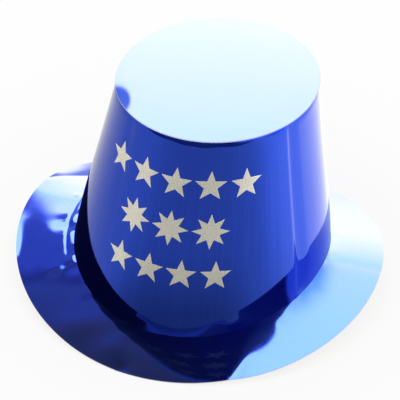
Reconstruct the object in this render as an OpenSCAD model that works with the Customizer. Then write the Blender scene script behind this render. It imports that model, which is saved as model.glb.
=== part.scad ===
// New year party hat: a card top hat faced with blue metallised foil.
// Millimetres, +Z up, the front of the hat looks along -Y.
// The hat stands on the front and back tips of its bent brim, on the plane z = 0.

/* [Brim] */
// Width of the brim from side to side
brim_w = 248; // [220:1:290]
// Length of the brim from front to back
brim_l = 256; // [230:1:300]
// How far the front and back tips of the brim hang below its sides
brim_drop = 22; // [5:1:35]
// How the bend spreads: 1 is a tent, 2 is a parabola
brim_bend = 1.6; // [1.2:0.1:2]

/* [Crown] */
// Width of the head opening
open_w = 172; // [150:1:190]
// Length of the head opening
open_l = 198; // [170:1:215]
// Distance from the middle of the brim back to the middle of the crown
open_back = 6; // [0:1:15]
// Width of the crown at its top
top_w = 127; // [100:1:170]
// Length of the crown at its top
top_l = 151; // [110:1:195]
// Height from the sides of the brim to the top face
crown_h = 124; // [70:1:170]
// How far the top of the crown leans towards +X
crown_lean = 4; // [-6:1:6]
// How far the top disc stands out past the crown wall
top_lip = 1; // [0:0.25:3]

/* [Card and foil] */
// Thickness of the card
card_t = 0.5; // [0.3:0.05:1]
// Thickness of the foil film
foil_t = 0.1; // [0.05:0.01:0.2]
// Thickness of a glue line
glue_t = 0.1; // [0.05:0.01:0.2]
// Thickness of the silver print
print_t = 0.08; // [0.04:0.01:0.2]

/* [Glued joints] */
// Length of the tabs that the top disc is glued to
tab_len = 12; // [6:1:20]
// Height of the glue teeth inside the crown, as a share of the crown height
tooth_part = 0.1; // [0.06:0.01:0.2]
// Width of the lap seam at the back, in steps of 3 degrees around the crown
lap_steps = 4; // [3:1:6]

/* [Print] */
// Outer radius of a five-pointed star
star_r = 10.6; // [6:0.2:11]
// Outer radius of an eight-pointed burst
burst_r = 12.2; // [6:0.2:12.6]
// Height of the middle of the upper row above the floor
row_top_z = 116; // [90:1:130]
// Distance between the middles of two rows
row_gap = 31; // [24:1:36]
// Distance between the middles of two stars in a row
star_gap = 22; // [21.5:0.5:26]
// Distance between the middles of two bursts in a row
burst_gap = 26; // [25.5:0.5:30]

/* [Hidden] */
// Steps around the crown and the brim
steps = 120;
// Steps of one tooth or tab, and of a tooth with the gap beside it
tooth_steps = 3;
tooth_pitch = 4;
// Levels up the crown wall, from the brim to the top
levels = [0, tooth_part, 0.4, 0.7, 1];
// Heights of the crown wall, the top disc and the brim's sides
side_z = brim_drop + card_t + foil_t;
top_z = side_z + crown_h;
wall_top_z = top_z - foil_t - card_t - glue_t;
// Inward offsets of the layers, counted from the face between card and foil
lap_shift = card_t + glue_t + foil_t;
tooth_out = card_t + glue_t;
tooth_in = tooth_out + card_t;
// Steps over which the lapped end moves inwards
joggle = 3;
// Distances from the crown's middle line to the front and back tips
tip_front = brim_l / 2 + open_back;
tip_back = brim_l / 2 - open_back;
// Rings of the brim, as shares of its width outside the crown
rings = [0.2, 0.4, 0.6, 0.8, 1];

foil_blue = [0.05, 0.12, 0.62];
card_grey = [0.9, 0.89, 0.86];
silver = [0.74, 0.71, 0.66];
glue_clear = [0.93, 0.91, 0.8];

// ---- shapes ----

// Direction of step i around the oval; step 0 is at the back
function turn(i) = 90 + 360 * i / steps;

function mix(a, b, t) = a + (b - a) * t;

// Underside of the bent brim at a distance y from front to back
function bend_z(y) =
    brim_drop * (1 - pow(abs(y - open_back) / (y < open_back ? tip_front : tip_back), brim_bend));

// Plan of the crown at step i, at level v, moved inwards by d
function oval(i, v, d) =
    let (
        w = mix(open_w, top_w, v) / 2,
        l = mix(open_l, top_l, v) / 2,
        c = cos(turn(i)),
        s = sin(turn(i)),
        n = norm([c / w, s / l])
    )
    [crown_lean * v + w * c - d * c / w / n, open_back + l * s - d * s / l / n];

// Point of the crown wall; its bottom edge follows the brim
function wall_pt(i, v, d) =
    let (
        p = oval(i, v, d),
        q = oval(i, 0, d),
        z = bend_z(q[1]) + card_t + foil_t
    )
    [p[0], p[1], mix(z, wall_top_z, v)];

// Inward shift of the strip of card at step i: it dives under its own start
function lap(i) = lap_shift * max(0, min(1, (i - steps + joggle) / joggle));

// Plan of the brim at step i: ring 0 is the edge of the head opening
function brim_xy(i, ring, d) =
    ring == 0 ? oval(i, 0, d)
    : ring == 1 ? oval(i, 0, tooth_out)
    : ring == 2 ? oval(i, 0, -foil_t)
    : let (
        p = oval(i, 0, -foil_t),
        q = [brim_w / 2 * cos(turn(i)), brim_l / 2 * sin(turn(i))]
    )
    mix(p, q, rings[ring - 3]);

function brim_pt(i, ring, d, h) =
    let (p = brim_xy(i, ring, d))
    [p[0], p[1], bend_z(p[1]) + h];

// ---- solids ----

// Closed solid between two grids of points, each of n + 1 columns of m + 1 points.
// A ring joins its last column to its first.
module slab(outer, inner, n, m, ring = false) {
    cols = ring ? n : n + 1;
    k = cols * (m + 1);
    function at(i, j) = (i % cols) * (m + 1) + j;
    skins = [
        for (i = [0 : n - 1], j = [0 : m - 1])
        let (a = at(i, j), b = at(i + 1, j), c = at(i + 1, j + 1), d = at(i, j + 1))
        each [[a, c, b], [a, d, c], [k + a, k + b, k + c], [k + a, k + c, k + d]]
    ];
    rims = [
        for (i = [0 : n - 1], j = [0, m])
        let (a = at(i, j), b = at(i + 1, j))
        each j == 0
            ? [[a, b, k + b], [a, k + b, k + a]]
            : [[a, k + b, b], [a, k + a, k + b]]
    ];
    ends = ring ? [] : [
        for (i = [0, n], j = [0 : m - 1])
        let (a = at(i, j), d = at(i, j + 1))
        each i == 0
            ? [[a, k + d, d], [a, k + a, k + d]]
            : [[a, d, k + d], [a, k + d, k + a]]
    ];
    polyhedron(points = concat(outer, inner), faces = concat(skins, rims, ends), convexity = 8);
}

// Layer of the rolled crown wall between two inward offsets
module wall_strip(d_out, d_in, first, last, top_level) {
    m = top_level;
    slab(
        [for (i = [first : last], j = [0 : m]) wall_pt(i, levels[j], d_out + lap(i))],
        [for (i = [first : last], j = [0 : m]) wall_pt(i, levels[j], d_in + lap(i))],
        last - first,
        m
    );
}

// Steps at which a tooth or a tab starts: all round, apart from the lap seam at the back
function tooth_starts() = [
    for (i = [lap_steps + 1 : tooth_pitch : steps - joggle - tooth_steps - 1]) i
];

// Flat tab turned in along the top edge of the wall, between two heights
module top_tab(i0, z_low, z_high) {
    function face(z) = [
        for (i = [i0 : i0 + tooth_steps], d = [card_t, card_t + tab_len])
        let (p = oval(i, 1, d))
        [p[0], p[1], z]
    ];
    slab(face(z_high), face(z_low), tooth_steps, 1);
}

// Tooth turned up along the edge of the head opening, against the inside of the wall
module brim_tooth(i0) {
    function face(d) = [
        for (i = [i0 : i0 + tooth_steps], j = [0 : 2])
        j == 0 ? brim_pt(i, 0, d, card_t) : wall_pt(i, levels[j - 1], d)
    ];
    slab(face(tooth_out), face(tooth_in), tooth_steps, 2);
}

module brim_layer(ring_first, h_low, h_high) {
    m = len(rings) + 2 - ring_first;
    function face(h) = [
        for (i = [0 : steps - 1], j = [ring_first : len(rings) + 2])
        brim_pt(i, j, tooth_in, h)
    ];
    slab(face(h_low), face(h_high), steps, m, true);
}

// Oval disc of the crown's top
module top_disc(z, t) {
    translate([0, 0, z])
        linear_extrude(height = t)
            polygon([for (i = [0 : steps - 1]) oval(i, 1, -foil_t - top_lip)]);
}

module spiky(points, r, dip) {
    polygon([
        for (i = [0 : 2 * points - 1])
        let (a = 90 + 180 * i / points, q = i % 2 == 0 ? r : r * dip)
        [q * cos(a), q * sin(a)]
    ]);
}

// Upright bar through the wall at a height z, a distance away from the front's middle
module motif_bar(z, away) {
    v = (z - side_z) / crown_h;
    w = mix(open_w, top_w, v) / 2;
    l = mix(open_l, top_l, v) / 2;
    a = 270 + away / w * 180 / PI;
    translate([crown_lean * v + w * cos(a), open_back + l * sin(a), z])
        rotate([90, 0, atan2(sin(a) / l, cos(a) / w) + 90])
            translate([0, 0, -15])
                linear_extrude(height = 30)
                    children();
}

// Row of evenly spaced motifs, the first row at the top
module motif_row(row, count, gap) {
    for (k = [0 : count - 1])
        motif_bar(row_top_z - row * row_gap, (k - (count - 1) / 2) * gap)
            children();
}

// ---- nodes ----

module crown_wall_card() {
    color(card_grey)
        wall_strip(0, card_t, 0, steps + lap_steps, len(levels) - 1);
}

module crown_top_tabs() {
    color(card_grey)
        for (i = tooth_starts())
            top_tab(i, wall_top_z - card_t, wall_top_z);
}

module crown_wall_foil() {
    color(foil_blue)
        wall_strip(-foil_t, 0, 0, steps + lap_steps, len(levels) - 1);
}

module crown_seam_glue() {
    color(glue_clear)
        slab(
            [for (i = [0 : lap_steps], v = levels) wall_pt(i, v, card_t)],
            [for (i = [0 : lap_steps], v = levels) wall_pt(i, v, card_t + glue_t)],
            lap_steps,
            len(levels) - 1
        );
}

module crown_top_card() {
    color(card_grey)
        top_disc(top_z - foil_t - card_t, card_t);
}

module crown_top_foil() {
    color(foil_blue)
        top_disc(top_z - foil_t, foil_t);
}

module top_tab_glue() {
    color(glue_clear)
        for (i = tooth_starts())
            top_tab(i, wall_top_z, wall_top_z + glue_t);
}

module brim_card() {
    color(card_grey)
        brim_layer(0, 0, card_t);
}

module brim_teeth() {
    color(card_grey)
        for (i = tooth_starts())
            brim_tooth(i);
}

module brim_foil() {
    color(foil_blue)
        brim_layer(1, card_t, card_t + foil_t);
}

module brim_tooth_glue() {
    color(glue_clear)
        for (i = tooth_starts())
            wall_strip(card_t, tooth_out, i, i + tooth_steps, 1);
}

module printed_motifs() {
    color(silver)
        intersection() {
            wall_strip(-foil_t - print_t, -foil_t, steps / 4, 3 * steps / 4, len(levels) - 1);
            union() {
                motif_row(0, 5, star_gap)
                    spiky(5, star_r, 0.42);
                motif_row(1, 3, burst_gap)
                    spiky(8, burst_r, 0.5);
                motif_row(2, 4, star_gap)
                    spiky(5, star_r, 0.42);
            }
        }
}

crown_wall_card();
crown_wall_foil();
crown_top_tabs();
crown_seam_glue();
crown_top_card();
crown_top_foil();
top_tab_glue();
brim_card();
brim_teeth();
brim_foil();
brim_tooth_glue();
printed_motifs();
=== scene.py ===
"""A card top hat faced with blue metallised foil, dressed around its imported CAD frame.

Metres, +Z up, the front of the hat looks along -Y.
"""

import math

import bpy
import numpy as np
from mathutils import Matrix, Vector


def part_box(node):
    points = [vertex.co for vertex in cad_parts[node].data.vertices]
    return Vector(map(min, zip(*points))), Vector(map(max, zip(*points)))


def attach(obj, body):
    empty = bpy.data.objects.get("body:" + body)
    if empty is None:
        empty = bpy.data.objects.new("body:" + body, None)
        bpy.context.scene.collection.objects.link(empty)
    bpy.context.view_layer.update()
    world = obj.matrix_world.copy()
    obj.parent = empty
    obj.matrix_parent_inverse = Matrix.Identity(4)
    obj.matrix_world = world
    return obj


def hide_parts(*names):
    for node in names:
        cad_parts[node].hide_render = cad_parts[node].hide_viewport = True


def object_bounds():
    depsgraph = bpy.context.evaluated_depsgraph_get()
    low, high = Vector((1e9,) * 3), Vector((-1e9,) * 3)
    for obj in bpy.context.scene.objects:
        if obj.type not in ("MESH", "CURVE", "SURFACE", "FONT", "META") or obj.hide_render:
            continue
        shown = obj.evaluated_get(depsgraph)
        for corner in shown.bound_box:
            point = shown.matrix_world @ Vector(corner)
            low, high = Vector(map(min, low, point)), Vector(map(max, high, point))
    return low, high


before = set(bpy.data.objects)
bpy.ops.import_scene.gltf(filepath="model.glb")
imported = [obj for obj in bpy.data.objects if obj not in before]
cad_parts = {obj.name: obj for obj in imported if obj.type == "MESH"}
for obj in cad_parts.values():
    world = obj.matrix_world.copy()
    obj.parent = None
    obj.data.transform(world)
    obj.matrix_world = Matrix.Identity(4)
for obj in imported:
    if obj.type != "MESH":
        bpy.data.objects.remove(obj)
cad_box = [list(corner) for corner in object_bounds()]

# ---- sizes, from the CAD boxes where they give them ----

wall_low, wall_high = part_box("crown_wall_foil")
disc_low, disc_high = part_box("crown_top_foil")
brim_low, brim_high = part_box("brim_foil")
card_low, card_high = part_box("crown_top_card")
glue_low, glue_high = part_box("top_tab_glue")

FILM = disc_high.z - disc_low.z
CARD = card_high.z - card_low.z
GLUE = glue_high.z - glue_low.z
INK = 0.00008  # thickness of the print
LIP = 0.001  # how far the top card stands out past the wall, as in the CAD
BEND = 1.6  # power of the brim's bend, as in the CAD

MIDDLE_Y = (disc_low.y + disc_high.y) / 2
LEAN = (disc_low.x + disc_high.x) / 2
OPEN_W = (wall_high.x - wall_low.x) / 2 - FILM
OPEN_L = (wall_high.y - wall_low.y) / 2 - FILM
TOP_W = (disc_high.x - disc_low.x) / 2 - FILM - LIP
TOP_L = (disc_high.y - disc_low.y) / 2 - FILM - LIP
BRIM_W = (brim_high.x - brim_low.x) / 2
BRIM_L = (brim_high.y - brim_low.y) / 2
DROP = brim_high.z - brim_low.z - FILM
SIDE_Z = brim_high.z
TOP_Z = disc_high.z
WALL_TOP = wall_high.z
TIP_FRONT = BRIM_L + MIDDLE_Y
TIP_BACK = BRIM_L - MIDDLE_Y

# Glue teeth and tabs, in turns around the crown, as the CAD spaces them
STEP = 1 / 120
LAP = 4 * STEP
JOGGLE = 3 * STEP
TOOTH = 3 * STEP
TOOTH_PITCH = 4 * STEP
TOOTH_PART = 0.1  # share of the wall's height that the teeth reach
TAB = 0.012
TAB_DROOP = 0.0006
LAP_SHIFT = CARD + GLUE + FILM
TOOTH_OUT = CARD + GLUE
TOOTH_IN = TOOTH_OUT + CARD

# ---- shapes shared by the layers ----


def smooth(value, start, end):
    """0 before start, 1 after end, and a smooth step between them."""
    part = np.clip((value - start) / (end - start), 0, 1)
    return part * part * (3 - 2 * part)


def hump(value, middle, width):
    """A soft bump, 1 in its middle."""
    return np.exp(-(((value - middle) / width) ** 2))


def half_sizes(level):
    """Half width and half length of the crown's oval; level 1 is its top."""
    return OPEN_W + (TOP_W - OPEN_W) * level, OPEN_L + (TOP_L - OPEN_L) * level


def plan(turns, level, inward):
    """Plan of the crown, in turns from the middle of the back; level 1 is its top."""
    angle = 2 * np.pi * (turns + 0.25)
    c, s = np.cos(angle), np.sin(angle)
    wide, long = half_sizes(level)
    slope = np.hypot(c / wide, s / long)
    x = LEAN * level + wide * c - inward * c / (wide * slope)
    y = MIDDLE_Y + long * s - inward * s / (long * slope)
    return x, y


# Swells of the brim: middle x, middle y, radii, turn of the first radius in degrees, height
BRIM_SWELLS = [
    (-0.135, 0.042, 0.024, 0.024, 0, 0.0019),
    (-0.1275, -0.052, 0.0105, 0.020, 20, 0.0011),
    (-0.110, -0.048, 0.010, 0.022, 16, -0.0005),
    (-0.082, -0.060, 0.005, 0.006, -30, 0.00025),
    (-0.050, -0.100, 0.020, 0.012, 30, 0.0004),
    (-0.024, -0.112, 0.008, 0.009, 10, 0.0003),
    (-0.012, -0.126, 0.005, 0.006, 0, -0.0003),
    (0.105, 0.030, 0.030, 0.050, 5, -0.0004),
    (0.030, 0.112, 0.030, 0.012, 10, 0.0006),
    (-0.045, 0.110, 0.018, 0.014, -20, -0.0006),
]

# A crease across the back left of the brim, behind which it dips
CREASE_X, CREASE_Y = -0.112, 0.033
CREASE_ACROSS_X, CREASE_ACROSS_Y = -0.548, 0.836
CREASE_SOFT, CREASE_DIP, CREASE_FADE = 0.002, 0.16, 0.05

# A softer crease on the front right: place, softness, slope, the length over which it fades,
# how slowly it grows away from the wall, and the turns between which it ends
ROLL_X, ROLL_SOFT, ROLL_SLOPE, ROLL_FADE = 0.058, 0.003, 0.17, 0.03
ROLL_WALL_REACH = 0.30
ROLL_END = (0.70, 0.82)

# Small gathers of the brim beside the crown, strongest on the left
PUCKER_HEIGHT, PUCKER_REACH, PUCKER_FINE = 0.00010, 0.085, 47
GROOVE_DEPTH, GROOVE_RING = 0.00014, 0.13

# Waves around the wall: height, count, twist, phase
WALL_WAVES = [(0.00025, 3, 0.35, 0.1), (0.00012, 7, -0.3, 0.0)]
# An upright fold: place in turns, how far its foot is shifted, depth
FOLD_PLACE, FOLD_LEAN, FOLD_DEPTH = 0.669, 0.008, 0.00075
# Hollows below the top edge: depth, place, width, and the levels between which each deepens
WALL_HOLLOWS = [(0.00035, 0.405, 0.010, 0.45, 0.85), (0.00040, 0.52, 0.012, 0.70, 0.95)]
# The foot's flare, a small bulge on it, and the curl and turn-in of the top edge
FLARE = 0.0009
BULGE, BULGE_PLACE, BULGE_LEVEL = 0.00050, 0.593, 0.045
TOP_CURL, TOP_TURN_IN = 0.0008, 0.0007


def past_crease(distance, soft):
    """Distance past a crease, 0 before it, rounded over the soft length."""
    return (distance + np.hypot(distance, soft)) / 2


def under_brim(x, y):
    """Underside of the bent brim, with the unevenness of hand-bent card."""
    reach = np.abs(y - MIDDLE_Y) / np.where(y < MIDDLE_Y, TIP_FRONT, TIP_BACK)
    z = DROP * (1 - reach**BEND)
    for mid_x, mid_y, first, second, turn, height in BRIM_SWELLS:
        c, s = math.cos(math.radians(turn)), math.sin(math.radians(turn))
        dx, dy = x - mid_x, y - mid_y
        z = z + height * hump(dx * c + dy * s, 0, first) * hump(dy * c - dx * s, 0, second)
    across = (y - CREASE_Y) * CREASE_ACROSS_Y + (x - CREASE_X) * CREASE_ACROSS_X
    past = past_crease(across, CREASE_SOFT)
    return np.maximum(z - CREASE_DIP * past / (1 + past / CREASE_FADE), 0)


def dents(turns, level):
    """How far the crown wall stands out of its true shape; every layer follows it."""
    arc = turns % 1
    ends = smooth(level, 0, 0.12) * (1 - smooth(level, 0.9, 1))
    full = smooth(level, -0.02, 0.03) * (1 - smooth(level, 0.97, 1.0))
    out = 0 * (arc + level)
    for height, count, twist, phase in WALL_WAVES:
        out = out + height * np.sin(2 * np.pi * (count * arc + twist * level + phase)) * ends
    fold = arc - FOLD_PLACE - FOLD_LEAN * (1 - level)
    out = out - FOLD_DEPTH * smooth(fold, 0, 0.006) * (1 - smooth(fold, 0.008, 0.030)) * full
    for depth, place, width, start, end in WALL_HOLLOWS:
        out = out - depth * hump(arc, place, width) * smooth(level, start, end) * full
    out = out + FLARE * smooth(level, -0.03, 0.20) * (1 - smooth(level, 0.20, 0.80))
    out = out + BULGE * hump(arc, BULGE_PLACE, 0.009) * hump(level, BULGE_LEVEL, 0.020) * full
    curl = 0.5 + 0.5 * np.sin(2 * np.pi * 11 * arc) * np.sin(2 * np.pi * 5 * arc + 1)
    out = out - TOP_CURL * curl * smooth(level, 0.962, 1.0)
    return out - TOP_TURN_IN * smooth(level, 0.984, 1.0)


def wall(turns, level, inward):
    """Point of the crown wall; its bottom edge follows the brim."""
    shift = inward + LAP_SHIFT * np.clip((turns - 1 + JOGGLE) / JOGGLE, 0, 1)
    x, y = plan(turns, level, shift - dents(turns, level))
    foot_x, foot_y = plan(turns, 0 * level, shift)
    foot = under_brim(foot_x, foot_y) + CARD + FILM
    return x, y, foot + (WALL_TOP - foot) * level


def puckers(turns, ring):
    """Small gathers that the glue teeth pull into the brim beside the crown."""
    fine = 0.6 * np.sin(2 * np.pi * PUCKER_FINE * turns + 1)
    wave = np.sin(2 * np.pi * turns / TOOTH_PITCH) + fine
    left = 0.35 + 1.3 * hump(turns % 1, 0.28, 0.06)
    near = np.clip(ring, 0, 1) / PUCKER_REACH
    groove = hump(ring, GROOVE_RING, 0.03) * hump(turns % 1, 0.285, 0.035)
    return PUCKER_HEIGHT * left * wave * near * np.exp(1 - near) - GROOVE_DEPTH * groove


def roll_off(turns, ring, x):
    """The front right of the brim folds down past a soft crease that runs front to back."""
    past = past_crease(x - ROLL_X, ROLL_SOFT)
    drop = ROLL_SLOPE * past / (1 + past / ROLL_FADE)
    from_wall = 1 - np.exp(-np.clip(ring, 0, 1) / ROLL_WALL_REACH)
    return drop * from_wall * (1 - smooth(turns % 1, *ROLL_END))


def brim(turns, ring, height):
    """Point of the brim: ring 0 is at the crown wall, ring 1 at the outer edge."""
    x, y = plan(turns, 0 * turns, np.where(ring < 0, -ring, 0) - FILM)
    angle = 2 * np.pi * (turns + 0.25)
    share = np.maximum(ring, 0)
    x = x + (BRIM_W * np.cos(angle) - x) * share
    y = y + (BRIM_L * np.sin(angle) - y) * share
    bent = np.maximum(under_brim(x, y) - roll_off(turns, ring, x), 0)
    return x, y, bent + puckers(turns, ring) + height


# ---- meshes ----


def new_object(name, points, faces, sheet=None, sharp=30):
    """A smooth-shaded mesh object; sheet gives each point's place on the flat card."""
    mesh = bpy.data.meshes.new(name)
    mesh.from_pydata([tuple(p) for p in points], [], faces)
    mesh.update()
    if sheet is not None:
        layer = mesh.uv_layers.new(name="sheet")
        corners = np.zeros(len(mesh.loops), dtype=np.int32)
        mesh.loops.foreach_get("vertex_index", corners)
        layer.data.foreach_set("uv", np.asarray(sheet)[corners].ravel())
    mesh.shade_smooth()
    mesh.set_sharp_from_angle(angle=math.radians(sharp))
    obj = bpy.data.objects.new(name, mesh)
    bpy.context.scene.collection.objects.link(obj)
    return obj


def slab(outer, inner, ring=False):
    """Points and faces of the closed solid between two grids of cols by rows points."""
    cols, rows = outer.shape[:2]
    half = cols * rows
    faces = []

    def at(i, j):
        return (i % cols) * rows + j

    last = cols if ring else cols - 1
    for i in range(last):
        for j in range(rows - 1):
            a, b, c, d = at(i, j), at(i + 1, j), at(i + 1, j + 1), at(i, j + 1)
            faces.append((a, b, c, d))
            faces.append((half + d, half + c, half + b, half + a))
        a, b = at(i, 0), at(i + 1, 0)
        faces.append((b, a, half + a, half + b))
        a, b = at(i, rows - 1), at(i + 1, rows - 1)
        faces.append((a, b, half + b, half + a))
    if not ring:
        for j in range(rows - 1):
            a, d = at(0, j), at(0, j + 1)
            faces.append((a, d, half + d, half + a))
            a, d = at(cols - 1, j), at(cols - 1, j + 1)
            faces.append((d, a, half + a, half + d))
    points = np.concatenate([outer.reshape(-1, 3), inner.reshape(-1, 3)])
    return points, faces


def grid(turns, rows):
    """Every pair of a turn and a row, as two arrays of turns by rows."""
    return np.meshgrid(turns, rows, indexing="ij")


def stack(x, y, z):
    """One array of points from their three coordinates."""
    return np.stack(np.broadcast_arrays(x, y, z), axis=-1)


def sheet_of(t, v, long, high):
    """Places on the flat card for both sides of a slab."""
    flat = np.stack([t * long, v * high], axis=-1).reshape(-1, 2)
    return np.concatenate([flat, flat])


WALL_LONG = math.pi * (OPEN_W + OPEN_L + TOP_W + TOP_L) / 2
WALL_HIGH = WALL_TOP - SIDE_Z


def wall_layer(name, outside, inside, first, last, top, per_turn=480, levels=48):
    """A layer of the crown wall between two depths, outside and inside."""
    t, v = grid(
        np.linspace(first, last, int(round((last - first) * per_turn)) + 1),
        np.linspace(0, top, max(2, int(levels * top)) + 1),
    )
    points, faces = slab(stack(*wall(t, v, outside)), stack(*wall(t, v, inside)))
    return new_object(name, points, faces, sheet_of(t, v, WALL_LONG, WALL_HIGH))


def brim_layer(name, inner_edge, low, high, per_turn=480):
    """A layer of the brim between two heights, reaching in past the outside of the wall."""
    rings = np.concatenate([[-inner_edge, -inner_edge / 2], np.linspace(0, 1, 41) ** 1.4])
    t, r = grid(np.arange(per_turn) / per_turn, rings)
    upper, lower = stack(*brim(t, r, high)), stack(*brim(t, r, low))
    points, faces = slab(lower, upper, ring=True)
    flat = np.stack([upper[..., 0], upper[..., 1]], axis=-1).reshape(-1, 2)
    return new_object(name, points, faces, np.concatenate([flat, flat]))


SKIRT_ROWS = 5
NOTCH_DEPTH, NOTCH_ANGLE = 0.00045, -2.42


def disc_wave(x, y):
    """The slight unevenness of the top disc, which stays flat in its middle."""
    around = np.arctan2(y - MIDDLE_Y, x - LEAN)
    out = np.hypot((x - LEAN) / TOP_W, (y - MIDDLE_Y) / TOP_L)
    wave = 0.5 * np.sin(3 * around + 0.4) + 0.35 * np.sin(7 * around)
    notch = hump(around, NOTCH_ANGLE, 0.20)
    edge = 0.00005 * (1 - wave) * smooth(out, 0.72, 1.02)
    return -edge - NOTCH_DEPTH * notch * np.clip((out - 0.84) / 0.18, 0, 1) ** 2


def top_disc(name, low, high, skirt=0.0):
    """The oval top disc; the foil's skirt is the part rolled down over the card's edge."""
    angles = 2 * np.pi * np.arange(480) / 480
    shares = np.concatenate([np.linspace(0.02, 0.985, 38), [0.997, 1.0]])
    edge = len(shares) - 1
    if skirt:
        shares = np.concatenate([shares, np.ones(SKIRT_ROWS)])
    a, r = grid(angles, shares)
    bend = np.clip(np.arange(len(shares)) - edge, 0, SKIRT_ROWS)[None, :] / SKIRT_ROWS
    faces_of = []
    for height, film in ((low, 0.0), (high, FILM if skirt else 0.0)):
        out = TOP_W + LIP + film * np.sin(bend * np.pi / 2) + (0 if skirt else FILM)
        x = LEAN + out * r * np.cos(a)
        y = MIDDLE_Y + (out + TOP_L - TOP_W) * r * np.sin(a)
        faces_of.append(stack(x, y, disc_wave(x, y) + height - skirt * bend**1.5))
    points, faces = slab(*faces_of, ring=True)
    cols, rows = a.shape
    half = cols * rows
    faces = [f for f in faces if not is_hub(f, rows, half)]
    hub = len(points)
    points = np.concatenate([points, [[LEAN, MIDDLE_Y, low], [LEAN, MIDDLE_Y, high]]])
    for i in range(cols):
        a0, b0 = i * rows, ((i + 1) % cols) * rows
        faces.append((hub, b0, a0))
        faces.append((hub + 1, half + a0, half + b0))
    return new_object(name, points, faces, points[:, :2], sharp=50)


def is_hub(face, rows, half):
    """True for the faces that would close the disc's inner ring."""
    return all((k if k < half else k - half) % rows == 0 for k in face)


def join(parts, name):
    """One object from several solids, each given as points, faces and places on the card."""
    points, faces, flats, start = [], [], [], 0
    for part_points, part_faces, flat in parts:
        points.append(part_points)
        faces += [tuple(k + start for k in f) for f in part_faces]
        flats.append(flat)
        start += len(part_points)
    return new_object(name, np.concatenate(points), faces, np.concatenate(flats))


def tooth_starts():
    """Where each tooth or tab begins, in turns; none stands on the lap seam."""
    first = LAP + STEP
    count = int((1 - JOGGLE - TOOTH - STEP - first) / TOOTH_PITCH + 1e-6) + 1
    return [first + k * TOOTH_PITCH for k in range(count)]


def taper(count, rows, narrow):
    """Turns of a tooth's grid: each row is narrower than the one before it."""
    side = np.linspace(-0.5, 0.5, count)
    return side[:, None] * TOOTH * (1 - narrow * np.linspace(0, 1, rows)[None, :] ** 2)


def teeth(name, outside, inside, sink):
    """Teeth or their glue, against the inside of the wall; sink lowers their foot."""
    parts = []
    for start in tooth_starts():
        rows = 7
        t = start + TOOTH / 2 + taper(9, rows, 0.22)
        v = np.broadcast_to(np.linspace(0, TOOTH_PART, rows)[None, :], t.shape)
        faces_of = []
        for inward in (outside, inside):
            x, y, z = wall(t, v, inward)
            faces_of.append(stack(x, y, z - sink * (v == 0)))
        points, faces = slab(*faces_of)
        parts.append((points, faces, sheet_of(t, v, WALL_LONG, WALL_HIGH)))
    return join(parts, name)


def tabs(name, low, high):
    """Tabs turned in under the top disc, or the glue on them."""
    parts = []
    for start in tooth_starts():
        rows = 6
        t = start + TOOTH / 2 + taper(9, rows, 0.3)
        inward = np.broadcast_to(np.linspace(CARD, CARD + TAB, rows)[None, :], t.shape)
        x, y = plan(t, 1 + 0 * t, inward)
        droop = -TAB_DROOP * smooth(inward, CARD + TAB * 0.3, CARD + TAB) * (high <= WALL_TOP)
        points, faces = slab(stack(x, y, high), stack(x, y, low + droop))
        flat = np.stack([x, y], axis=-1).reshape(-1, 2)
        parts.append((points, faces, np.concatenate([flat, flat])))
    return join(parts, name)


# ---- printed motifs ----

# Points, radius, and the share of the radius at the dips
STAR = (5, 0.0106, 0.42)
BURST = (8, 0.0122, 0.5)
ROW_TOP_Z = 0.116
ROW_GAP = 0.031
# Shape, count and gap of each row, from the top down
MOTIF_ROWS = [(STAR, 5, 0.022), (BURST, 3, 0.026), (STAR, 4, 0.022)]


def spiky(points, radius, dip, cuts=4):
    """Outline of a star around its middle, with its edges cut into short lengths."""
    corners = []
    for k in range(2 * points):
        reach = radius if k % 2 == 0 else radius * dip
        angle = math.pi / 2 + math.pi * k / points
        corners.append(np.array([reach * math.cos(angle), reach * math.sin(angle)]))
    line = []
    for k, corner in enumerate(corners):
        after = corners[(k + 1) % len(corners)]
        line += [corner + (after - corner) * i / cuts for i in range(cuts)]
    return np.array(line)


def motif(shape, z, away):
    """One motif, laid on the foil of the crown wall."""
    level = (z - DROP) / (WALL_TOP - DROP)
    wide, long = half_sizes(level)
    turn = away / wide / (2 * math.pi)
    angle = 2 * math.pi * (0.75 + turn)
    speed = math.hypot(wide * math.sin(angle), long * math.cos(angle)) * 2 * math.pi
    line = spiky(*shape)
    shares = [0.15, 0.35, 0.55, 0.75, 0.9, 0.975, 1.0, 1.0]
    lifts = [1, 1, 1, 1, 1, 1, 0.55, -0.5]
    rings = []
    for share, lift in zip(shares, lifts):
        t = 0.5 + turn + line[:, 0] * share / speed
        height = z + line[:, 1] * share
        foot = under_brim(*plan(t, 0 * t, -FILM)) + CARD + FILM
        v = (height - foot) / (WALL_TOP - foot)
        rings.append(stack(*wall(t, v, -FILM - INK * lift)))
    t = np.array([0.5 + turn])
    foot = under_brim(*plan(t, 0 * t, -FILM)) + CARD + FILM
    v = (z - foot) / (WALL_TOP - foot)
    middle = wall(t, v, -FILM - INK)
    count = len(line)
    points = [np.array([float(c[0]) for c in middle])]
    for ring in rings:
        points += list(ring)
    faces = [(0, 1 + k, 1 + (k + 1) % count) for k in range(count)]
    for r in range(len(rings) - 1):
        a, b = 1 + r * count, 1 + (r + 1) * count
        for k in range(count):
            n = (k + 1) % count
            faces.append((a + k, b + k, b + n, a + n))
    last = 1 + (len(rings) - 1) * count
    base = wall(t, v, -FILM + INK / 2)
    points.append(np.array([float(c[0]) for c in base]))
    hub = len(points) - 1
    faces += [(hub, last + (k + 1) % count, last + k) for k in range(count)]
    points = np.array(points)
    return points, faces, points[:, [0, 2]]


def motifs(name):
    """The rows of printed stars and bursts, each centred on the front of the crown."""
    parts = []
    for row, (shape, count, gap) in enumerate(MOTIF_ROWS):
        for k in range(count):
            away = (k - (count - 1) / 2) * gap
            parts.append(motif(shape, ROW_TOP_Z - row * ROW_GAP, away))
    return join(parts, name)


# ---- materials ----


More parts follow.
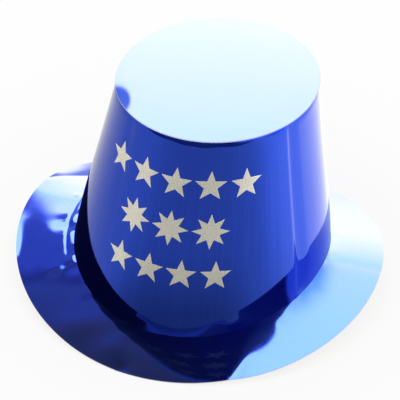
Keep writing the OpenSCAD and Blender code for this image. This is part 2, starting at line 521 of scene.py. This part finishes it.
class Graph:
    """Short calls for adding nodes to a material or a world."""

    def __init__(self, owner):
        owner.use_nodes = True
        self.tree = owner.node_tree
        self.tree.nodes.clear()

    def add(self, kind, inputs=None, **settings):
        """A node; each input is either a value or another node's output to link."""
        node = self.tree.nodes.new(kind)
        for key, value in settings.items():
            setattr(node, key, value)
        for key, value in (inputs or {}).items():
            socket = node.inputs[key]
            if isinstance(value, bpy.types.NodeSocket):
                self.tree.links.new(value, socket)
            else:
                socket.default_value = value
        return node

    def math(self, operation, *values):
        node = self.add("ShaderNodeMath", dict(enumerate(values)), operation=operation)
        return node.outputs[0]

    def step(self, value, start, end, low=0.0, high=1.0):
        """A smooth step from low at start to high at end."""
        inputs = {"Value": value, "From Min": start, "From Max": end}
        inputs.update({"To Min": low, "To Max": high})
        node = self.add("ShaderNodeMapRange", inputs, interpolation_type="SMOOTHSTEP")
        return node.outputs["Result"]

    def mix(self, share, first, second):
        """A blend of two colours; share 1 gives the second."""
        node = self.add("ShaderNodeMix", data_type="RGBA")
        for socket, value in zip((0, 6, 7), (share, first, second)):
            if isinstance(value, bpy.types.NodeSocket):
                self.tree.links.new(value, node.inputs[socket])
            else:
                node.inputs[socket].default_value = value
        return node.outputs[2]

    def noise(self, vector, scale, detail=3.0, rough=0.5):
        inputs = {"Vector": vector, "Scale": scale, "Detail": detail, "Roughness": rough}
        return self.add("ShaderNodeTexNoise", inputs).outputs["Fac"]

    def stretch(self, vector, scale):
        inputs = {"Vector": vector, "Scale": scale}
        return self.add("ShaderNodeMapping", inputs).outputs["Vector"]

    def ramp(self, value, stops):
        """A colour ramp from (place, colour) stops in rising order."""
        node = self.add("ShaderNodeValToRGB", {"Fac": value})
        elements = node.color_ramp.elements
        elements.remove(elements[-1])
        elements[0].position = stops[0][0]
        elements[0].color = (*stops[0][1], 1)
        for place, colour in stops[1:]:
            elements.new(place).color = (*colour, 1)
        return node.outputs["Color"]


def sheet_point(graph):
    """The place on the flat card, for streaks that follow the sheet."""
    return graph.add("ShaderNodeUVMap", uv_map="sheet").outputs["UV"]


FOIL_BLUE = (0.026, 0.070, 0.55, 1)
FOIL_DEEP = (0.022, 0.060, 0.50, 1)


def foil_material(name, streak, streak_tone, streak_bump, wave_bump):
    """Blue metallised film: mirror-like, with the faint lines of the rolled sheet."""
    material = bpy.data.materials.new(name)
    g = Graph(material)
    uv = sheet_point(g)
    lines = g.noise(g.stretch(uv, streak), 1.0, 4.0, 0.6)
    space = g.add("ShaderNodeTexCoord").outputs["Object"]
    cloud = g.noise(space, 35.0, 2.0)
    grain = g.noise(space, 900.0, 2.0, 0.7)
    tone = g.mix(g.step(lines, 0.35, 0.7, 0.0, streak_tone), FOIL_BLUE, FOIL_DEEP)
    rough = g.math("MULTIPLY_ADD", g.step(cloud, 0.3, 0.7), 0.030, 0.030)
    rough = g.math("MULTIPLY_ADD", g.step(grain, 0.4, 0.8), 0.02, rough)
    bump = g.add("ShaderNodeBump", {"Height": lines, "Distance": 0.0001})
    bump.inputs["Strength"].default_value = streak_bump
    wave = g.add("ShaderNodeBump", {"Height": cloud, "Distance": 0.001})
    wave.inputs["Strength"].default_value = wave_bump
    g.tree.links.new(bump.outputs["Normal"], wave.inputs["Normal"])
    inputs = {"Base Color": tone, "Metallic": 1.0, "Roughness": rough}
    inputs["Normal"] = wave.outputs["Normal"]
    shader = g.add("ShaderNodeBsdfPrincipled", inputs)
    g.add("ShaderNodeOutputMaterial", {"Surface": shader.outputs[0]})
    return material


def card_material():
    """Pasteboard with short fibres and a few darker specks, toned darker than the bare card as
    painted shade for its edges.
    """
    material = bpy.data.materials.new("card")
    g = Graph(material)
    space = g.add("ShaderNodeTexCoord").outputs["Object"]
    fibres = g.noise(g.stretch(space, (900, 260, 500)), 1.0, 5.0, 0.65)
    cloud = g.noise(space, 60.0, 3.0)
    specks = g.add("ShaderNodeTexVoronoi", {"Vector": space, "Scale": 420.0})
    # These greys are darker than the bare card: painted shade for its shadowed edges
    tone = g.mix(g.step(cloud, 0.3, 0.7), (0.54, 0.53, 0.50, 1), (0.62, 0.61, 0.58, 1))
    tone = g.mix(g.step(fibres, 0.45, 0.8, 0.0, 0.5), tone, (0.45, 0.44, 0.41, 1))
    speck = g.step(specks.outputs["Distance"], 0.02, 0.06, 0.5, 0.0)
    tone = g.mix(speck, tone, (0.28, 0.26, 0.23, 1))
    rough = g.step(fibres, 0.2, 0.8, 0.78, 0.95)
    bump = g.add("ShaderNodeBump", {"Height": fibres, "Distance": 0.00008})
    bump.inputs["Strength"].default_value = 0.6
    inputs = {"Base Color": tone, "Roughness": rough, "Normal": bump.outputs["Normal"]}
    shader = g.add("ShaderNodeBsdfPrincipled", inputs)
    g.add("ShaderNodeOutputMaterial", {"Surface": shader.outputs[0]})
    return material


def glue_material():
    """Dried clear glue, slightly yellow, with small bubbles."""
    material = bpy.data.materials.new("glue")
    g = Graph(material)
    space = g.add("ShaderNodeTexCoord").outputs["Object"]
    cloud = g.noise(space, 180.0, 3.0)
    bubbles = g.add("ShaderNodeTexVoronoi", {"Vector": space, "Scale": 700.0})
    tone = g.mix(g.step(cloud, 0.3, 0.7), (0.80, 0.74, 0.56, 1), (0.88, 0.84, 0.70, 1))
    dot = g.step(bubbles.outputs["Distance"], 0.08, 0.2, 0.6, 0.0)
    tone = g.mix(dot, tone, (0.93, 0.91, 0.85, 1))
    rough = g.step(cloud, 0.2, 0.8, 0.12, 0.32)
    bump = g.add("ShaderNodeBump", {"Height": cloud, "Distance": 0.0002})
    bump.inputs["Strength"].default_value = 0.5
    inputs = {"Base Color": tone, "Roughness": rough, "Normal": bump.outputs["Normal"]}
    shader = g.add("ShaderNodeBsdfPrincipled", inputs)
    g.add("ShaderNodeOutputMaterial", {"Surface": shader.outputs[0]})
    return material


def print_material():
    """Warm silver ink: flake in a satin binder."""
    material = bpy.data.materials.new("silver_print")
    g = Graph(material)
    space = g.add("ShaderNodeTexCoord").outputs["Object"]
    flake = g.noise(space, 1600.0, 2.0, 0.7)
    cloud = g.noise(space, 90.0, 3.0)
    tone = g.mix(g.step(cloud, 0.3, 0.7), (0.68, 0.67, 0.62, 1), (0.74, 0.73, 0.68, 1))
    tone = g.mix(g.step(flake, 0.45, 0.75, 0.0, 0.4), tone, (0.80, 0.79, 0.76, 1))
    rough = g.step(flake, 0.2, 0.8, 0.24, 0.34)
    bump = g.add("ShaderNodeBump", {"Height": flake, "Distance": 0.00004})
    bump.inputs["Strength"].default_value = 0.5
    inputs = {"Base Color": tone, "Metallic": 1.0, "Roughness": rough}
    inputs["Normal"] = bump.outputs["Normal"]
    shader = g.add("ShaderNodeBsdfPrincipled", inputs)
    g.add("ShaderNodeOutputMaterial", {"Surface": shader.outputs[0]})
    return material


def floor_material():
    """Plain pale floor. Mirrored rays see a painted pool of light to the back right and a painted
    shadow of the hat in front.
    """
    material = bpy.data.materials.new("pale_floor")
    g = Graph(material)
    space = g.add("ShaderNodeTexCoord").outputs["Object"]
    cloud = g.noise(space, 3.0, 2.0)
    tone = g.mix(cloud, (0.29, 0.29, 0.29, 1), (0.30, 0.30, 0.30, 1))
    inputs = {"Base Color": tone, "Roughness": 1.0, "Specular IOR Level": 0.0}
    inputs.update({"Emission Color": (1, 1, 1, 1), "Emission Strength": 0.70})
    plain = g.add("ShaderNodeBsdfPrincipled", inputs)

    axes = g.add("ShaderNodeSeparateXYZ", {"Vector": space}).outputs
    far = g.math("SQRT", g.math(
        "ADD", g.math("POWER", axes["X"], 2.0), g.math("POWER", axes["Y"], 2.0)
    ))

    def towards(azimuth, spread):
        """1 along an azimuth counted from the back towards the right, 0 past the spread."""
        a = math.radians(azimuth)
        along = g.math(
            "ADD",
            g.math("MULTIPLY", axes["X"], math.sin(a)),
            g.math("MULTIPLY", axes["Y"], math.cos(a)),
        )
        return g.step(g.math("DIVIDE", along, far), math.cos(math.radians(spread)), 1.0)

    # What the foil mirrors: a level of 0.88, a painted soft pool of light and a painted soft
    # shadow of the hat
    painted_glow = g.math("MULTIPLY", towards(54, 66), 0.95)
    painted_shadow = g.math("MULTIPLY", towards(173, 60), g.step(far, 0.10, 0.34, 0.60, 0.24))
    light = g.math("SUBTRACT", g.math("ADD", painted_glow, 0.88), painted_shadow)
    mirrored = g.add("ShaderNodeEmission", {"Color": (1, 0.98, 0.88, 1), "Strength": light})
    in_foil = g.add("ShaderNodeLightPath").outputs["Is Glossy Ray"]
    both = g.add("ShaderNodeMixShader", {0: in_foil, 1: plain.outputs[0], 2: mirrored.outputs[0]})
    g.add("ShaderNodeOutputMaterial", {"Surface": both.outputs[0]})
    return material


# ---- pieces ----

wall_foil = wall_layer("crown_wall_foil_sheet", -FILM, 0.0, 0, 1 + LAP, 1)
wall_card = wall_layer("crown_wall_card_strip", 0.0, CARD, 0, 1 + LAP, 1)
seam_glue = wall_layer("crown_seam_glue_line", CARD, CARD + GLUE, 0, LAP, 1)
top_foil = top_disc("crown_top_foil_disc", TOP_Z - FILM, TOP_Z, skirt=CARD * 0.9)
top_card = top_disc("crown_top_card_disc", TOP_Z - FILM - CARD, TOP_Z - FILM)
brim_foil = brim_layer("brim_foil_sheet", TOOTH_OUT, CARD, CARD + FILM)
brim_card = brim_layer("brim_card_ring", TOOTH_IN, 0.0, CARD)
top_tabs = tabs("crown_top_tab_row", WALL_TOP - CARD, WALL_TOP)
tab_glue = tabs("crown_top_tab_glue", WALL_TOP, WALL_TOP + GLUE)
brim_teeth = teeth("brim_tooth_row", TOOTH_OUT, TOOTH_IN, FILM)
tooth_glue = teeth("brim_tooth_glue_line", CARD, TOOTH_OUT, 0.0)
silver = motifs("printed_stars_and_bursts")

wall_film = foil_material("foil_wall", (900, 9, 1), 1.0, 0.06, 0.015)
disc_film = foil_material("foil_disc", (60, 700, 1), 0.15, 0.001, 0.004)
brim_film = foil_material("foil_brim", (60, 700, 1), 0.20, 0.002, 0.006)
card = card_material()
glue = glue_material()
ink = print_material()

PIECES = [
    (wall_foil, "crown_wall_foil", "foil", wall_film),
    (wall_card, "crown_wall_card", "card", card),
    (seam_glue, "crown_seam_glue", "glue", glue),
    (top_foil, "crown_top_foil", "foil", disc_film),
    (top_card, "crown_top_card", "card", card),
    (brim_foil, "brim_foil", "foil", brim_film),
    (brim_card, "brim_card", "card", card),
    (top_tabs, "crown_top_tabs", "card", card),
    (tab_glue, "top_tab_glue", "glue", glue),
    (brim_teeth, "brim_teeth", "card", card),
    (tooth_glue, "brim_tooth_glue", "glue", glue),
    (silver, "printed_motifs", "silver_print", ink),
]
for piece, node, slot, material in PIECES:
    piece.data.materials.append(material)
    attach(piece, "root")
    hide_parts(node)

# ---- studio ----


def make_floor(half=6.0):
    """A large plain floor under the hat."""
    mesh = bpy.data.meshes.new("studio_floor")
    corners = [(-half, -half, 0), (half, -half, 0), (half, half, 0), (-half, half, 0)]
    mesh.from_pydata(corners, [], [(0, 1, 2, 3)])
    floor = bpy.data.objects.new("studio_floor", mesh)
    bpy.context.scene.collection.objects.link(floor)
    mesh.materials.append(floor_material())


FOIL_LIGHT = 40.0  # strength of the light that mirrored rays see; everything else gets 1
SECOND_BOUNCE = 2.5  # the first mirrored bounce reads a ray depth of 2, the second 3


def softbox_mask(g, x, y, z):
    """1 in the directions of the softbox, whose left edge leans in towards the zenith."""
    lean = g.math("MULTIPLY", g.math("MAXIMUM", g.math("SUBTRACT", z, 0.74), 0.0), 0.75)
    side_on = g.math("SUBTRACT", x, lean)
    left_edge = g.step(side_on, -0.306, -0.290)
    near_edge = g.step(y, 0.05, 0.13)
    return g.math("MULTIPLY", left_edge, near_edge)


def softbox_light(g, x, z):
    """The softbox on the first bounce: warm tones by height, dimmer and bluer on its right."""
    left = g.ramp(z, [
        (0.14, (0.170, 0.145, 0.15)),
        (0.26, (0.285, 0.205, 0.18)),
        (0.38, (0.400, 0.248, 0.20)),
        (0.47, (0.420, 0.262, 0.20)),
        (0.55, (0.385, 0.255, 0.20)),
        (0.60, (0.325, 0.244, 0.20)),
        (0.67, (0.440, 0.260, 0.20)),
        (0.75, (0.380, 0.250, 0.20)),
        (0.84, (0.345, 0.245, 0.20)),
        (0.90, (0.325, 0.240, 0.20)),
    ])
    right = g.ramp(z, [
        (0.14, (0.010, 0.020, 0.045)),
        (0.30, (0.020, 0.045, 0.090)),
        (0.50, (0.055, 0.085, 0.150)),
        (0.85, (0.090, 0.110, 0.150)),
    ])
    return g.mix(g.step(x, -0.05, 0.12, 0.0, 0.95), left, right)


def room_light(g, y, z):
    """The dim room on the first bounce, darkest low down in front of the hat."""
    room = g.ramp(z, [
        (0.0, (0.025, 0.025, 0.025)),
        (0.50, (0.045, 0.050, 0.038)),
        (0.74, (0.021, 0.018, 0.022)),
        (0.81, (0.020, 0.016, 0.020)),
        (0.836, (0.012, 0.008, 0.010)),
        (0.850, (0.018, 0.013, 0.013)),
        (0.90, (0.016, 0.009, 0.006)),
        (0.95, (0.009, 0.005, 0.0025)),
    ])
    front = g.math("MULTIPLY", g.step(y, -0.15, -0.45), g.step(z, 0.42, 0.20))
    return g.mix(g.math("MULTIPLY", front, 0.92), room, (0.002, 0.002, 0.004, 1))


def panel_light(g, direction, middle, inner, outer, light):
    """A soft round light: full inside the inner angle, none past the outer one."""
    dot = g.add("ShaderNodeVectorMath", {0: direction}, operation="DOT_PRODUCT")
    dot.inputs[1].default_value = Vector(middle).normalized()
    rim, core = math.cos(math.radians(outer)), math.cos(math.radians(inner))
    return g.mix(g.step(dot.outputs["Value"], rim, core), (0, 0, 0, 1), (*light, 1))


def second_bounce_light(g, x, z, mask):
    """A darker map of its own for the second bounce, which keeps the crown's foot dark."""
    softbox = g.ramp(z, [
        (0.10, (0.110, 0.100, 0.045)),
        (0.55, (0.120, 0.110, 0.050)),
        (0.72, (0.014, 0.012, 0.010)),
        (0.95, (0.010, 0.008, 0.007)),
    ])
    room = g.mix(g.step(x, -0.6, 0.9), (0.003, 0.002, 0.0015, 1), (0.012, 0.009, 0.008, 1))
    return g.mix(mask, room, softbox)


# Soft panels: direction, inner and outer angle in degrees, light
PANELS = [
    ((-0.25, -0.70, 0.68), 8, 34, (0.10, 0.09, 0.10)),
    ((0.90, -0.25, 0.45), 5, 30, (0.10, 0.09, 0.10)),
    ((-0.95, 0.05, 0.35), 4, 26, (0.06, 0.055, 0.06)),
]


def studio_world():
    """White all round; mirrored rays see a softbox up behind the hat and a dim room instead."""
    world = bpy.data.worlds.new("soft_studio")
    bpy.context.scene.world = world
    g = Graph(world)
    direction = g.add("ShaderNodeTexCoord").outputs["Generated"]
    axes = g.add("ShaderNodeSeparateXYZ", {"Vector": direction}).outputs
    x, y, z = axes["X"], axes["Y"], axes["Z"]
    path = g.add("ShaderNodeLightPath").outputs

    mask = softbox_mask(g, x, y, z)
    seen_once = g.mix(mask, room_light(g, y, z), softbox_light(g, x, z))
    for panel in PANELS:
        add = g.add("ShaderNodeMix", {0: 1.0}, data_type="RGBA", blend_type="ADD")
        g.tree.links.new(seen_once, add.inputs[6])
        g.tree.links.new(panel_light(g, direction, *panel), add.inputs[7])
        seen_once = add.outputs[2]

    deep = g.math("GREATER_THAN", path["Ray Depth"], SECOND_BOUNCE)
    seen = g.mix(deep, seen_once, second_bounce_light(g, x, z, mask))
    not_lighting = g.math("LESS_THAN", path["Diffuse Depth"], 0.5)
    in_foil = g.math("MULTIPLY", path["Is Glossy Ray"], not_lighting)
    plain = g.add("ShaderNodeBackground", {"Color": (1, 1, 1, 1), "Strength": 1.0})
    lit = g.add("ShaderNodeBackground", {"Color": seen, "Strength": FOIL_LIGHT})
    both = g.add("ShaderNodeMixShader", {0: in_foil, 1: plain.outputs[0], 2: lit.outputs[0]})
    g.add("ShaderNodeOutputWorld", {"Surface": both.outputs[0]})
    world.cycles.sampling_method = "NONE"


# The camera at the photograph's angle: degrees, metres, and the lens in millimetres
AZIMUTH, ELEVATION, ROLL = 15.88, 35.53, 3.21
DISTANCE = 1.248
LENS = 169.8
AIM_SHIFT = Vector((0.0011, -0.0107, -0.0136))


def make_camera():
    """The camera, turned and rolled to match the photograph."""
    a, e, r = (math.radians(v) for v in (AZIMUTH, ELEVATION, ROLL))
    back = Vector((math.sin(a) * math.cos(e), -math.cos(a) * math.cos(e), math.sin(e)))
    right = Vector((math.cos(a), math.sin(a), 0))
    up = back.cross(right)
    cam_x = right * math.cos(r) + up * math.sin(r)
    cam_y = up * math.cos(r) - right * math.sin(r)
    middle = (Vector(cad_box[0]) + Vector(cad_box[1])) / 2
    place = middle + AIM_SHIFT + back * DISTANCE
    data = bpy.data.cameras.new("camera")
    data.lens = LENS
    data.clip_start = 0.01
    camera = bpy.data.objects.new("camera", data)
    bpy.context.scene.collection.objects.link(camera)
    turn = Matrix((cam_x, cam_y, back)).transposed()
    camera.matrix_world = Matrix.Translation(place) @ turn.to_4x4()
    bpy.context.scene.camera = camera


make_floor()
studio_world()
make_camera()
bpy.context.scene.view_settings.view_transform = "Standard"
